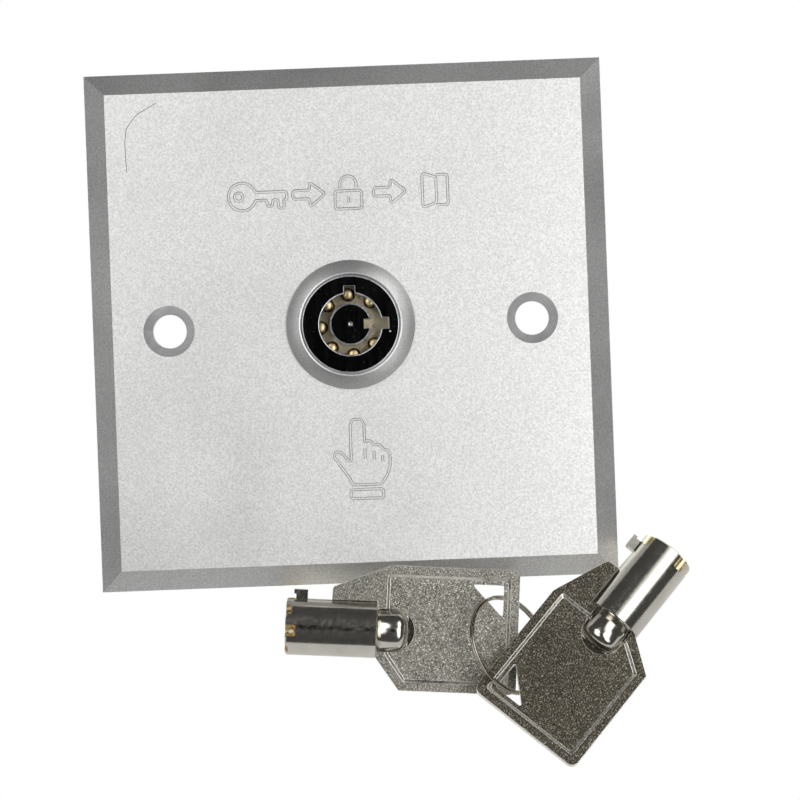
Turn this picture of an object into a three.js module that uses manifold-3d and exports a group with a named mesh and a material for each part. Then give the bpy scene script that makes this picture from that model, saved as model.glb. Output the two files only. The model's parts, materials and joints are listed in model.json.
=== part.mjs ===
// Key-operated selector switch on a square wall plate, with its two keys on a split ring.
// Millimetres, +Z up. The wall is the plane Y = 0 and the plate looks towards -Y, so the lock and
// the micro-switch reach into the wall box at +Y. The origin is the middle of the plate's back.
// Lock parts are turned about the Y axis. "Clock" angles are counted from +X towards +Z.

import * as THREE from 'three';
import Module from 'manifold-3d';
import { mergeVertices } from 'three/addons/utils/BufferGeometryUtils.js';

// ---------------------------------------------------------------- driving dimensions

const PLATE = {
  side: 86, thick: 3, bevelWide: 3.5, edgeThick: 0.8, screwPitch: 60.3,
  screwHole: 2.8, sinkRadius: 4.25, sinkDepth: 1.5, lockHole: 7.75,
};
const LOCK = {
  faceY: -5, flangeR: 8.1, flangeBackY: -3.9, bodyR: 7.5, backY: 16.5, chamfer: 0.35,
  lipR: 5.1, lipBackY: -3.7, boreR: 6.6, notchR: 6.3, notchHalf: 0.9, boreEndY: 15.6, rearHoleR: 3.2,
};
const TRIM = {
  outerR: 10.7, innerR: 8.25, topY: -4.8, edge: 0.35, bulge: 0.16, roundOver: 0.35, drop: 0.1,
  webInnerR: 7.65, webTopY: -3.8,
};
const ROTOR = {
  postR: 3.5, postTopY: -4.8, floorY: 0, shearY: 5, flangeR: 6.4, spindleR: 2.4, endY: 21, flatHalf: 1.9,
  slotHalf: 0.8, slotInnerR: 2.2, slotDepth: 2.2, chamfer: 0.4, dimpleR: 0.7, flatRunOut: 0.4,
};
const PINS = {
  circleR: 5, pinR: 0.9, chamberR: 1.08, restY: -3.55, domeHeight: 0.5, gap: 0.2,
  clocks: [90, 45, 135, 180, 225, 270, 315].map((clock) => clock + 3.5),
  travels: [2.4, 1.5, 2.5, 1.85, 3, 2.1, 1.3],
  driverLength: 3.8, springEndY: 14.3, springGap: 0.3, springR: 0.65, wireR: 0.15, springTurns: 4,
};
const HOUSING = { frontGap: 0.15, rearGap: 0.1, spindleGap: 0.25, chamberBeyondSpring: 0.2 };
const CROSS_PIN = { radius: 0.75, clearance: 0.15, innerX: 3.6, outerX: 7.4, y: 10 };
const NUT = {
  washerR: 10.4, washerThick: 0.8, acrossFlats: 18, thick: 2.6, boreR: 7.65, teeth: 12, toothRoot: 0.93,
};
const BRACKET = { thick: 1.2, halfWide: 9.5, topZ: 9.5, bottomZ: -20, armX: -4.6, armEndY: 30 };
const CAM = {
  startY: 17.4, thick: 3, lowR: 5, rise: 0.9, sweep: 90, margin: 12, boreR: 2.55, flatHalf: 2.05,
};
const CAM_SCREW = { collarR: 3.4, collarThick: 0.6, headR: 2.6, headEnd: 2.2, slotHalf: 0.4, slotFloor: 1.5 };
const SWITCH = {
  x0: -3.2, x1: 3.2, y0: 12, y1: 32, z0: -18.6, z1: -8.4, wall: 1.1,
  plungerY: 18.9, plungerR: 1.1, plungerIn: 2.4, gap: 0.2, screws: [[14.6, -11.6], [29.4, -15.4]],
  cavityFromScrews: 2.4, cavityFloor: 2.2, cavityRoof: 1.6,
};
const SWITCH_SCREW = {
  radius: 1, clearance: 0.15, tip: 1, headR: 1.9, headIn: 0.1, headOut: 1.4, slotHalf: 0.3, slotIn: 0.8,
};
const BLADE = { fromWall: 0.6, wide: 2.4, fromScrews: 2.8, thick: 0.3, below: 0.4 };
const TERMINAL = { wide: 3, thick: 0.6, drop: 5.5, eyeR: 0.6, eyeUp: 1.3, places: [15.2, 22.4, 29.2] };
const KEY = {
  tubeR: 4.7, boreR: 3.65, length: 15, baseThick: 1.6, neckR: 3.45, neckLength: 3.3, domeLength: 2,
  bowBack: -23.2, bowTop: 10.7, bowBottom: -9.8, bowHalf: 0.9, panelHalf: 0.55, rim: 1.45, corner: 1.25,
  slotR: 3.75, slotEnd: -2.2, cutR: 1, cutCircleR: 4.9, leastCut: 0.5, tipChamfer: 0.2,
};
const NIB = { half: 0.85, fromTip: 1.5, long: 1.9, sunk: 0.6, tall: 1.45 };
const RING_HOLE = [[-15.4, 8.1], [-20.6, 8.1], [-20.6, 2.8]];
const KEY_1 = { at: [2.48, -5.6, -50.48], angle: 175.5, tilt: 0, roll: 0, seen: 1 };
const KEY_2 = { at: [41.07, -8.42, -50.44], angle: 47.46, tilt: 14.16, roll: 11.3, seen: -1 };
const RING = {
  centre: [24.2, -7.59, -53.65], normal: [0.649, -0.671, 0.358],
  meanR: 8.21, halfRadial: 0.3, halfAxial: 0.42, groove: 0.1,
};
const OVERSHOOT = 1;

const TAU = 2 * Math.PI;
const radians = (degrees) => degrees * Math.PI / 180;

// ---------------------------------------------------------------- solids

const wasm = await Module();
wasm.setup();

// Welds a geometry into one closed indexed mesh of positions only, facing outwards.
function weld(geometry) {
  geometry.deleteAttribute('normal');
  geometry.deleteAttribute('uv');
  const welded = mergeVertices(geometry, 1e-4);
  const index = [...welded.index.array];
  const position = welded.attributes.position;
  const corner = [new THREE.Vector3(), new THREE.Vector3(), new THREE.Vector3()];
  const kept = [];
  let volume = 0;
  for (let i = 0; i < index.length; i += 3) {
    const [a, b, c] = index.slice(i, i + 3);
    if (a === b || b === c || a === c) continue;
    kept.push(a, b, c);
    [a, b, c].forEach((v, k) => corner[k].fromBufferAttribute(position, v));
    volume += corner[0].dot(corner[1].clone().cross(corner[2]));
  }
  if (volume < 0) kept.reverse();
  welded.setIndex(kept);
  return welded;
}

function toManifold(geometry) {
  const welded = weld(geometry);
  return new wasm.Manifold(new wasm.Mesh({
    numProp: 3,
    vertProperties: new Float32Array(welded.attributes.position.array),
    triVerts: new Uint32Array(welded.index.array),
  }));
}

function toGeometry(manifold) {
  const mesh = manifold.getMesh();
  const geometry = new THREE.BufferGeometry();
  geometry.setAttribute('position', new THREE.BufferAttribute(new Float32Array(mesh.vertProperties), 3));
  geometry.setIndex([...mesh.triVerts]);
  return geometry;
}

const cut = (base, ...tools) => toGeometry(
  tools.reduce((solid, tool) => solid.subtract(toManifold(tool)), toManifold(base)));
const join = (base, ...others) => toGeometry(
  others.reduce((solid, other) => solid.add(toManifold(other)), toManifold(base)));

// A solid turned about the Y axis from [radius, y] points.
function turned(points, segments = 40) {
  return new THREE.LatheGeometry(points.map(([r, y]) => new THREE.Vector2(r, y)), segments);
}

function disc(radius, y0, y1, segments = 32) {
  return turned([[0, y0], [radius, y0], [radius, y1], [0, y1]], segments);
}

function tube(outer, inner, y0, y1, segments = 32) {
  return turned([[inner, y0], [outer, y0], [outer, y1], [inner, y1], [inner, y0]], segments);
}

// A flat outline of [x, z] points, or a ready shape, drawn out along Y.
function prism(outline, y0, y1) {
  const shape = outline instanceof THREE.Shape
    ? outline : new THREE.Shape(outline.map(([x, z]) => new THREE.Vector2(x, z)));
  const geometry = new THREE.ExtrudeGeometry(
    shape, { depth: y1 - y0, bevelEnabled: false, curveSegments: 8 });
  return geometry.rotateX(Math.PI / 2).translate(0, y1, 0);
}

function block(x0, x1, y0, y1, z0, z1) {
  return new THREE.BoxGeometry(x1 - x0, y1 - y0, z1 - z0)
    .translate((x0 + x1) / 2, (y0 + y1) / 2, (z0 + z1) / 2);
}

// Moves a solid made round the Y axis out to a clock position on a circle.
function onClock(geometry, clock, radius) {
  const angle = radians(clock);
  return geometry.translate(radius * Math.cos(angle), 0, radius * Math.sin(angle));
}

// A round bar along X at a given place in the YZ plane.
function alongX(radius, x0, x1, y, z, segments = 12) {
  return disc(radius, x0, x1, segments).rotateZ(-Math.PI / 2).translate(0, y, z);
}

// The clearance hole of a micro-switch screw.
function screwHole(x0, x1, [y, z]) {
  return alongX(SWITCH_SCREW.radius + SWITCH_SCREW.clearance, x0, x1, y, z);
}

const polygon = (count, radius, turn = 0) => Array.from({ length: count }, (_, i) => [
  radius * Math.cos(TAU * i / count + turn), radius * Math.sin(TAU * i / count + turn)]);

// ---------------------------------------------------------------- materials and the group

const finish = (color, metalness, roughness) => ({ color, metalness, roughness });
const ANODISED = finish(0xdcdcda, 0.9, 0.45);
const SATIN = finish(0x9a9a98, 0.9, 0.35);
const CHROME = finish(0xd5d7da, 1, 0.08);
const BRASS = finish(0xb99a52, 1, 0.3);
const GOLD = finish(0xd8b25a, 1, 0.2);
const STEEL = finish(0xa9abad, 1, 0.35);
const NICKEL = finish(0xb5b3a8, 1, 0.25);
const CAST_NICKEL = finish(0xa09d92, 0.9, 0.5);
const BLACK_PLASTIC = finish(0x222326, 0, 0.5);
const RED_PLASTIC = finish(0xa33024, 0, 0.45);

const assembly = new THREE.Group();

function add(name, geometry, look, parent = assembly) {
  const mesh = new THREE.Mesh(weld(geometry), new THREE.MeshStandardMaterial(look));
  mesh.name = name;
  parent.add(mesh);
  return mesh;
}

// ---------------------------------------------------------------- face plate and trim ring

function facePlate() {
  const { side, thick, bevelWide, edgeThick, screwPitch, screwHole, sinkRadius, sinkDepth, lockHole } = PLATE;
  const half = side / 2;
  const square = (reach) => [[-reach, -reach], [reach, -reach], [reach, reach], [-reach, reach]];
  const rings = [[half, 0], [half, -edgeThick], [half - bevelWide, -thick]];
  const points = rings.flatMap(([reach, y]) => square(reach).map(([x, z]) => [x, y, z])).flat();
  const faces = [0, 2, 1, 0, 3, 2, 8, 9, 10, 8, 10, 11];
  for (let level = 0; level < 8; level += 4) {
    for (let i = 0; i < 4; i += 1) {
      const [a, b] = [level + i, level + (i + 1) % 4];
      faces.push(a, b, b + 4, a, b + 4, a + 4);
    }
  }
  const body = new THREE.BufferGeometry();
  body.setAttribute('position', new THREE.BufferAttribute(new Float32Array(points), 3));
  body.setIndex(faces);
  const sinkSlope = (sinkRadius - screwHole) / sinkDepth;
  const screwCutter = () => turned([
    [0, OVERSHOOT], [screwHole, OVERSHOOT], [screwHole, sinkDepth - thick],
    [sinkRadius + sinkSlope * OVERSHOOT, -thick - OVERSHOOT], [0, -thick - OVERSHOOT],
  ], 24);
  return cut(
    body,
    disc(lockHole, -thick - OVERSHOOT, OVERSHOOT, 32),
    screwCutter().translate(-screwPitch / 2, 0, 0),
    screwCutter().translate(screwPitch / 2, 0, 0),
  );
}

function trimRing() {
  const { outerR, innerR, topY, edge, bulge, roundOver, drop, webInnerR, webTopY } = TRIM;
  const footY = -PLATE.thick;
  const midR = (outerR + innerR) / 2;
  const midY = (footY - edge + topY) / 2 - bulge;
  return turned([
    [webInnerR, footY], [outerR, footY], [outerR, footY - edge], [midR, midY], [innerR + roundOver, topY],
    [innerR, topY + drop], [innerR, webTopY], [webInnerR, webTopY], [webInnerR, footY],
  ], 40);
}

// ---------------------------------------------------------------- lock

function lockCasing() {
  const { faceY, flangeR, flangeBackY, bodyR, backY, chamfer, lipR, lipBackY } = LOCK;
  const { boreR, notchR, notchHalf, boreEndY, rearHoleR } = LOCK;
  const shell = turned([
    [lipR + chamfer, faceY], [flangeR - chamfer, faceY], [flangeR, faceY + chamfer], [flangeR, flangeBackY],
    [bodyR, flangeBackY], [bodyR, backY], [rearHoleR, backY], [rearHoleR, boreEndY],
    [boreR, boreEndY], [boreR, lipBackY], [lipR, lipBackY], [lipR, faceY + chamfer], [lipR + chamfer, faceY],
  ], 40);
  const notchFrom = [faceY - OVERSHOOT, lipR - OVERSHOOT / 2];
  const notchTo = [(lipBackY + boreR - notchR), notchR];
  const topNotch = block(-notchHalf, notchHalf, notchFrom[0], notchTo[0], notchFrom[1], notchTo[1]);
  const sideNotch = block(notchFrom[1], notchTo[1], notchFrom[0], notchTo[0], -notchHalf, notchHalf);
  return cut(shell, topNotch, sideNotch, crossPin(CROSS_PIN.clearance));
}

// The radial pin that locks the pin housing to the casing, or its hole when it is grown.
function crossPin(grow = 0) {
  const { radius, innerX, outerX, y } = CROSS_PIN;
  return alongX(radius + grow, innerX - grow, outerX + 4 * grow, y, 0);
}

function rotor() {
  const { postR, postTopY, floorY, shearY, flangeR, spindleR, endY, flatHalf, chamfer } = ROTOR;
  const { slotHalf, slotInnerR, slotDepth, dimpleR, flatRunOut } = ROTOR;
  const body = turned([
    [0, postTopY + dimpleR / 2], [dimpleR, postTopY], [postR - chamfer, postTopY],
    [postR, postTopY + chamfer], [postR, floorY], [flangeR, floorY],
    [flangeR, shearY], [spindleR, shearY], [spindleR, endY], [0, endY],
  ], 40);
  const chamber = (clock) => onClock(
    disc(PINS.chamberR, floorY - OVERSHOOT, shearY + OVERSHOOT, 12), clock, PINS.circleR);
  const slot = block(
    slotInnerR, postR + OVERSHOOT, postTopY - OVERSHOOT, postTopY + slotDepth, -slotHalf, slotHalf);
  const flatFrom = CAM.startY - flatRunOut;
  const beyond = spindleR + OVERSHOOT;
  const upperFlat = block(-beyond, beyond, flatFrom, endY + OVERSHOOT, flatHalf, beyond);
  const lowerFlat = block(-beyond, beyond, flatFrom, endY + OVERSHOOT, -beyond, -flatHalf);
  return cut(body, slot, upperFlat, lowerFlat, ...PINS.clocks.map(chamber));
}

function keyPin(i) {
  const { restY, domeHeight, pinR, travels, gap, circleR, clocks } = PINS;
  const tailY = ROTOR.shearY - gap - travels[i];
  const dome = [0, 30, 60, 90].map((lean) => [
    pinR * Math.sin(radians(lean)), restY + domeHeight * (1 - Math.cos(radians(lean)))]);
  return onClock(turned([...dome, [pinR, tailY], [0, tailY]], 12), clocks[i], circleR);
}

function driverPin(i) {
  const frontY = ROTOR.shearY + PINS.gap;
  return onClock(disc(PINS.pinR, frontY, frontY + PINS.driverLength, 12), PINS.clocks[i], PINS.circleR);
}

class Helix extends THREE.Curve {
  constructor(radius, y0, y1, turns) {
    super();
    Object.assign(this, { radius, y0, y1, turns });
  }

  getPoint(t, target = new THREE.Vector3()) {
    const angle = TAU * this.turns * t;
    const y = this.y0 + (this.y1 - this.y0) * t;
    return target.set(this.radius * Math.cos(angle), y, this.radius * Math.sin(angle));
  }
}

function pinSpring(i) {
  const { wireR, springTurns, springR, springGap, springEndY, gap, driverLength } = PINS;
  const frontY = ROTOR.shearY + gap + driverLength + springGap;
  const path = new Helix(springR, frontY, springEndY - wireR, springTurns);
  const section = new THREE.Shape(polygon(4, wireR).map(([x, y]) => new THREE.Vector2(x, y)));
  const coil = new THREE.ExtrudeGeometry(section, { steps: springTurns * 6, extrudePath: path });
  return onClock(coil, PINS.clocks[i], PINS.circleR);
}

function pinHousing() {
  const { frontGap, rearGap, spindleGap, chamberBeyondSpring } = HOUSING;
  const frontY = ROTOR.shearY + frontGap;
  const rearY = LOCK.boreEndY - rearGap;
  const sleeve = tube(ROTOR.flangeR, ROTOR.spindleR + spindleGap, frontY, rearY, 40);
  const chamber = (clock) => onClock(
    disc(PINS.chamberR, frontY - OVERSHOOT, PINS.springEndY + chamberBeyondSpring, 12), clock, PINS.circleR);
  return cut(sleeve, crossPin(CROSS_PIN.clearance), ...PINS.clocks.map(chamber));
}

// ---------------------------------------------------------------- clamping hardware

function toothedWasher() {
  const { washerR, washerThick, boreR, teeth, toothRoot } = NUT;
  const outline = polygon(2 * teeth, washerR)
    .map(([x, z], i) => (i % 2 ? [x * toothRoot, z * toothRoot] : [x, z]));
  const shape = new THREE.Shape(outline.map(([x, z]) => new THREE.Vector2(x, z)));
  shape.holes.push(new THREE.Path(polygon(32, boreR).map(([x, z]) => new THREE.Vector2(x, z))));
  return prism(shape, 0, washerThick);
}

function hexNut() {
  const y0 = NUT.washerThick + BRACKET.thick;
  const shape = new THREE.Shape(polygon(6, NUT.acrossFlats / Math.sqrt(3), Math.PI / 6)
    .map(([x, z]) => new THREE.Vector2(x, z)));
  shape.holes.push(new THREE.Path(polygon(32, NUT.boreR).map(([x, z]) => new THREE.Vector2(x, z))));
  return prism(shape, y0, y0 + NUT.thick);
}

// An angle of sheet metal: the front leg is clamped under the nut and the arm carries the micro-switch.
function switchBracket() {
  const { thick, halfWide, topZ, bottomZ, armX, armEndY } = BRACKET;
  const y0 = NUT.washerThick;
  const leg = block(-halfWide, halfWide, y0, y0 + thick, bottomZ, topZ);
  const arm = block(armX, armX + thick, y0, armEndY, bottomZ, SWITCH.z1);
  const hole = disc(NUT.boreR, y0 - OVERSHOOT, y0 + thick + OVERSHOOT, 32);
  return cut(join(leg, arm), hole, ...SWITCH.screws.map((place) => screwHole(armX - OVERSHOOT, 0, place)));
}

// ---------------------------------------------------------------- cam

// The cam's radius grows evenly with the angle, so the plunger moves in step with the key.
function cam() {
  const { startY, thick, lowR, rise, sweep, margin, boreR, flatHalf } = CAM;
  const bottom = 270;
  const step = 6;
  const outline = [];
  for (let clock = 0; clock < 360; clock += step) {
    const along = (clock - bottom + 360 + margin) % 360 - margin;
    const level = Math.min(Math.max(along / sweep, 0), 1 + margin / sweep);
    const onRamp = along <= sweep + margin;
    const radius = lowR + (onRamp ? rise * level : 0);
    outline.push([radius * Math.cos(radians(clock)), radius * Math.sin(radians(clock))]);
  }
  const disk = prism(outline, startY, startY + thick);
  const round = disc(boreR, startY - OVERSHOOT, startY + thick + OVERSHOOT, 24);
  const between = block(-lowR, lowR, startY - 2, startY + thick + 2, -flatHalf, flatHalf);
  const bore = toGeometry(toManifold(round).intersect(toManifold(between)));
  return cut(disk, bore);
}

function camScrew() {
  const { collarR, collarThick, headR, headEnd, slotHalf, slotFloor } = CAM_SCREW;
  const y0 = ROTOR.endY;
  const collar = disc(collarR, y0, y0 + collarThick, 20);
  const head = disc(headR, y0 + collarThick / 2, y0 + headEnd, 20);
  const slot = block(-slotHalf, slotHalf, y0 + slotFloor, y0 + headEnd + OVERSHOOT, -collarR, collarR);
  return cut(join(collar, head), slot);
}

// ---------------------------------------------------------------- micro-switch

function switchBase() {
  const { x0, x1, y0, y1, z0, z1, wall, plungerY, plungerR, gap, screws } = SWITCH;
  const { cavityFromScrews, cavityFloor, cavityRoof } = SWITCH;
  const lidX = x1 - wall;
  const body = block(x0, lidX, y0, y1, z0, z1);
  const chamberY0 = screws[0][0] + cavityFromScrews;
  const chamberY1 = screws[1][0] - cavityFromScrews;
  const cavity = block(x0 + wall, lidX + OVERSHOOT, chamberY0, chamberY1, z0 + cavityFloor, z1 - cavityRoof);
  const guide = disc(plungerR + gap, -cavityRoof, cavityRoof, 16)
    .rotateX(Math.PI / 2).translate(0, plungerY, z1 - gap);
  return cut(body, cavity, guide, ...screws.map((place) => screwHole(x0 - OVERSHOOT, x1, place)));
}

function switchCover() {
  const { x1, y0, y1, z0, z1, wall, screws } = SWITCH;
  const lid = block(x1 - wall, x1, y0, y1, z0, z1);
  return cut(lid, ...screws.map((place) => screwHole(x1 - wall - OVERSHOOT, x1 + OVERSHOOT, place)));
}

function plunger() {
  const { plungerY, plungerR, plungerIn, z1, gap } = SWITCH;
  const tip = -CAM.lowR - gap;
  const foot = z1 - plungerIn;
  const bevel = plungerR * 0.4;
  const rod = turned([
    [0, foot], [plungerR, foot], [plungerR, tip - bevel], [plungerR - bevel, tip], [0, tip],
  ], 16).rotateX(Math.PI / 2);
  return rod.translate(0, plungerY, 0);
}

function contactBlade() {
  const { screws, z1, x0, wall, plungerIn } = SWITCH;
  const { fromWall, wide, fromScrews, thick, below } = BLADE;
  const topZ = z1 - plungerIn - CAM.rise - below;
  const edgeX = x0 + wall + fromWall;
  return block(edgeX, edgeX + wide, screws[0][0] + fromScrews, screws[1][0] - fromScrews, topZ - thick, topZ);
}

function terminal(y) {
  const { wide, thick, drop, eyeR, eyeUp } = TERMINAL;
  const endZ = SWITCH.z0 - drop;
  const blade = block(-thick / 2, thick / 2, y - wide / 2, y + wide / 2, endZ, SWITCH.z0);
  return cut(blade, alongX(eyeR, -thick, thick, y, endZ + eyeUp, 10));
}

function switchScrew([y, z]) {
  const { radius, tip, headR, headIn, headOut, slotHalf, slotIn } = SWITCH_SCREW;
  const seatX = SWITCH.x1;
  const shank = alongX(radius, BRACKET.armX - tip, seatX + slotIn / 2, y, z);
  const head = alongX(headR, seatX + headIn, seatX + headOut, y, z, 16);
  const slot = block(
    seatX + slotIn, seatX + headOut + OVERSHOOT, y - slotHalf, y + slotHalf, z - headR, z + headR);
  return cut(join(shank, head), slot);
}

// ---------------------------------------------------------------- keys and split ring
// A key is drawn in its own plane: u (x) runs from the bow to the tip of the barrel, v (z) towards the
// nib and the wing, and the barrel's base is the origin.

function keyBarrel() {
  const { tubeR, boreR, length, baseThick, cutR, cutCircleR, leastCut, tipChamfer } = KEY;
  const body = turned([
    [0, 0], [tubeR, 0], [tubeR, length - tipChamfer], [tubeR - tipChamfer, length], [boreR, length],
    [boreR, baseThick], [0, baseThick],
  ], 32);
  const bitting = PINS.clocks.map((clock, i) => {
    const depth = ROTOR.floorY - PINS.restY - PINS.travels[i];
    return onClock(disc(cutR, length - Math.max(depth, leastCut), length + OVERSHOOT, 10), clock, cutCircleR);
  });
  const nibEnd = length - NIB.fromTip;
  const nib = block(-NIB.half, NIB.half, nibEnd - NIB.long, nibEnd, tubeR - NIB.sunk, tubeR + NIB.tall);
  return cut(join(body, nib), ...bitting).rotateZ(-Math.PI / 2);
}

function keyNeck() {
  const { neckR, neckLength, domeLength } = KEY;
  const steps = 4;
  const dome = Array.from({ length: steps }, (_, i) => {
    const angle = (i + 1) / steps * Math.PI / 2;
    return [neckR * Math.cos(angle), -neckLength - domeLength * Math.sin(angle)];
  });
  dome[steps - 1][0] = 0;
  return turned([[0, -0.02], [neckR, -0.02], [neckR, -neckLength], ...dome], 24).rotateZ(-Math.PI / 2);
}

function bowOutline(inset) {
  const { bowBack, bowTop, bowBottom, corner, tubeR } = KEY;
  const shape = new THREE.Shape();
  const round = Math.max(corner - inset, 0.4);
  const [back, top, bottom] = [bowBack + inset, bowTop - inset, bowBottom + inset];
  const slope = inset * 0.5;
  shape.moveTo(-inset, bottom + 5.1 - slope);
  shape.lineTo(-3.9 - slope, bottom);
  shape.lineTo(back + round, bottom);
  shape.absarc(back + round, bottom + round, round, radians(270), radians(180), true);
  shape.lineTo(back, top - round);
  shape.absarc(back + round, top - round, round, radians(180), radians(90), true);
  if (inset > 0) {
    shape.lineTo(-inset - 0.5, top);
    shape.lineTo(-inset, top - 0.5);
  } else {
    shape.lineTo(-2.2, top);
    shape.lineTo(-1.2, top - 0.35);
    shape.lineTo(6, 7.4);
    shape.lineTo(7.4, 6.4);
    shape.lineTo(7.6, tubeR + 0.04);
    shape.lineTo(0, tubeR + 0.04);
  }
  return shape;
}

function bowSlot() {
  const { slotR, slotEnd } = KEY;
  const slot = new THREE.Shape();
  slot.moveTo(1, -slotR);
  slot.lineTo(slotEnd, -slotR);
  slot.absarc(slotEnd, 0, slotR, radians(270), radians(90), true);
  slot.lineTo(1, slotR);
  return slot;
}

function keyBow() {
  const { bowHalf, panelHalf, rim } = KEY;
  const blank = prism(bowOutline(0), -bowHalf, bowHalf);
  const recess = (side) => prism(bowOutline(rim), panelHalf, bowHalf + OVERSHOOT).scale(1, side, 1);
  return cut(
    blank, recess(1), recess(-1),
    prism(bowSlot(), -bowHalf - OVERSHOOT, bowHalf + OVERSHOOT),
    prism(RING_HOLE, -bowHalf - OVERSHOOT, bowHalf + OVERSHOOT),
  );
}

// Group frame of a key: local x = u, local z = v, local y = the normal of the bow.
function keyGroup({ at, angle, tilt, roll, seen }) {
  const [turn, lean] = [radians(angle), radians(tilt)];
  const u = new THREE.Vector3(
    Math.cos(lean) * Math.cos(turn), Math.sin(lean), Math.cos(lean) * Math.sin(turn));
  const side = new THREE.Vector3(seen * Math.sin(turn), 0, -seen * Math.cos(turn));
  const flatV = side.addScaledVector(u, -side.dot(u)).normalize();
  const flatN = new THREE.Vector3().crossVectors(flatV, u);
  const v = flatV.clone().multiplyScalar(Math.cos(radians(roll)))
    .addScaledVector(flatN, Math.sin(radians(roll)) * Math.sign(flatN.y));
  const n = new THREE.Vector3().crossVectors(v, u);
  const group = new THREE.Group();
  group.matrixAutoUpdate = false;
  group.matrix.makeBasis(u, n, v).setPosition(...at);
  assembly.add(group);
  return group;
}

function addKey(number, place) {
  const group = keyGroup(place);
  add(`key_${number}_barrel`, keyBarrel(), NICKEL, group);
  add(`key_${number}_neck`, keyNeck(), NICKEL, group);
  add(`key_${number}_bow`, keyBow(), CAST_NICKEL, group);
}

// The split ring: two turns of flat wire, taken together as one ring with a groove between the turns.
function keyRing() {
  const { meanR, halfRadial, halfAxial, groove } = RING;
  return turned([
    [meanR - halfRadial, -halfAxial], [meanR + halfRadial, -halfAxial], [meanR + halfRadial, -groove],
    [meanR + halfRadial - groove, 0], [meanR + halfRadial, groove], [meanR + halfRadial, halfAxial],
    [meanR - halfRadial, halfAxial], [meanR - halfRadial, -halfAxial],
  ], 48);
}

// ---------------------------------------------------------------- assembly

add('face_plate', facePlate(), ANODISED);
add('trim_ring', trimRing(), SATIN);
add('lock_casing', lockCasing(), CHROME);
add('rotor', rotor(), BRASS);
PINS.clocks.forEach((_, i) => {
  add(`key_pin_${i + 1}`, keyPin(i), GOLD);
  add(`driver_pin_${i + 1}`, driverPin(i), STEEL);
  add(`pin_spring_${i + 1}`, pinSpring(i), STEEL);
});
add('pin_housing', pinHousing(), BRASS);
add('housing_cross_pin', crossPin(), STEEL);
add('toothed_washer', toothedWasher(), STEEL);
add('switch_bracket', switchBracket(), STEEL);
add('hex_nut', hexNut(), NICKEL);
add('cam', cam(), BRASS);
add('cam_screw', camScrew(), STEEL);
add('switch_base', switchBase(), BLACK_PLASTIC);
add('switch_cover', switchCover(), BLACK_PLASTIC);
add('switch_plunger', plunger(), RED_PLASTIC);
add('contact_blade', contactBlade(), BRASS);
['common', 'normally_open', 'normally_closed'].forEach((name, i) => {
  add(`terminal_${name}`, terminal(TERMINAL.places[i]), NICKEL);
});
SWITCH.screws.forEach((place, i) => add(`switch_screw_${i + 1}`, switchScrew(place), STEEL));
addKey(1, KEY_1);
addKey(2, KEY_2);
const ring = add('key_ring', keyRing(), NICKEL);
ring.quaternion.setFromUnitVectors(new THREE.Vector3(0, 1, 0), new THREE.Vector3(...RING.normal).normalize());
ring.position.set(...RING.centre);

export default assembly;
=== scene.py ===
"""Looks of a key-operated selector switch: a bevelled wall plate with a tubular-key lock, its rear
micro-switch, and two keys on a split ring. Shapes are built in millimetres about the CAD frame
(plate's back at y = 0, front towards -y, z up) and scaled to metres when they are placed."""

import json
import math

import bmesh
import bpy
from mathutils import Matrix, Vector


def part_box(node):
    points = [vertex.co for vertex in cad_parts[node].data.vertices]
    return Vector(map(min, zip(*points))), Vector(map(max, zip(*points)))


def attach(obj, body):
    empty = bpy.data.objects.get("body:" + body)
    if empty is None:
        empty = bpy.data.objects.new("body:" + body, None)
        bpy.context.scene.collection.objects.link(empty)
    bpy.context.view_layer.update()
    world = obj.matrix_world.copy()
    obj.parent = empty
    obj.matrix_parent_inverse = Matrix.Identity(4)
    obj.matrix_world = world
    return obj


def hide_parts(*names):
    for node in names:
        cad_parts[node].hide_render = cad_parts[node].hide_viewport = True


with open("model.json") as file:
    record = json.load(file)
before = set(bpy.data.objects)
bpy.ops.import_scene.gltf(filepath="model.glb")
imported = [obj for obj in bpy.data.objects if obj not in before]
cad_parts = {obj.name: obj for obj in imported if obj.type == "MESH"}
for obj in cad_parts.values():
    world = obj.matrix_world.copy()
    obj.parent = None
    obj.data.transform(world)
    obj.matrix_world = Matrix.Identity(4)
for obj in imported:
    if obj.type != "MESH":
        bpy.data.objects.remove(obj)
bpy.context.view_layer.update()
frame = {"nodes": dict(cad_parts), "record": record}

MM = 0.001
TAU = 2 * math.pi


def box_mm(node):
    """Lowest and highest corner of a CAD node, in millimetres."""
    low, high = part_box(node)
    return low / MM, high / MM


# ------------------------------------------------------------------ driving dimensions, millimetres

PLATE_LOW, PLATE_HIGH = box_mm("face_plate")
HALF_SIDE = PLATE_HIGH.x
FRONT_Y = PLATE_LOW.y
EDGE_THICK = 0.8
BEVEL_WIDE = 3.5
SCREW_X = 30.15
SCREW_HOLE_R = 2.8
SINK_R = 4.25
SINK_DEPTH = 1.5
LOCK_HOLE_R = 7.75

FLANGE_R = box_mm("lock_casing")[1].x
FACE_Y = box_mm("lock_casing")[0].y
CASING_END_Y = box_mm("lock_casing")[1].y
BODY_R = 7.5
LIP_R = 5.1
LIP_BACK_Y = -3.7
BORE_R = 6.6
NOTCH_R = 6.3
NOTCH_HALF = 0.9
FLANGE_BACK_Y = -3.9
BORE_END_Y = 15.6
REAR_HOLE_R = 3.2
THREAD_PITCH = 1.0
THREAD_DEPTH = 0.5
THREAD_RELIEF_Y = -2.5
THREAD_FOOT_Y = -2.2
THREAD_START_Y = -2.1
THREAD_END_GAP = 0.3
BARREL_CLEAR_R = 7.65
NUT_BORE_R = 7.6

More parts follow.
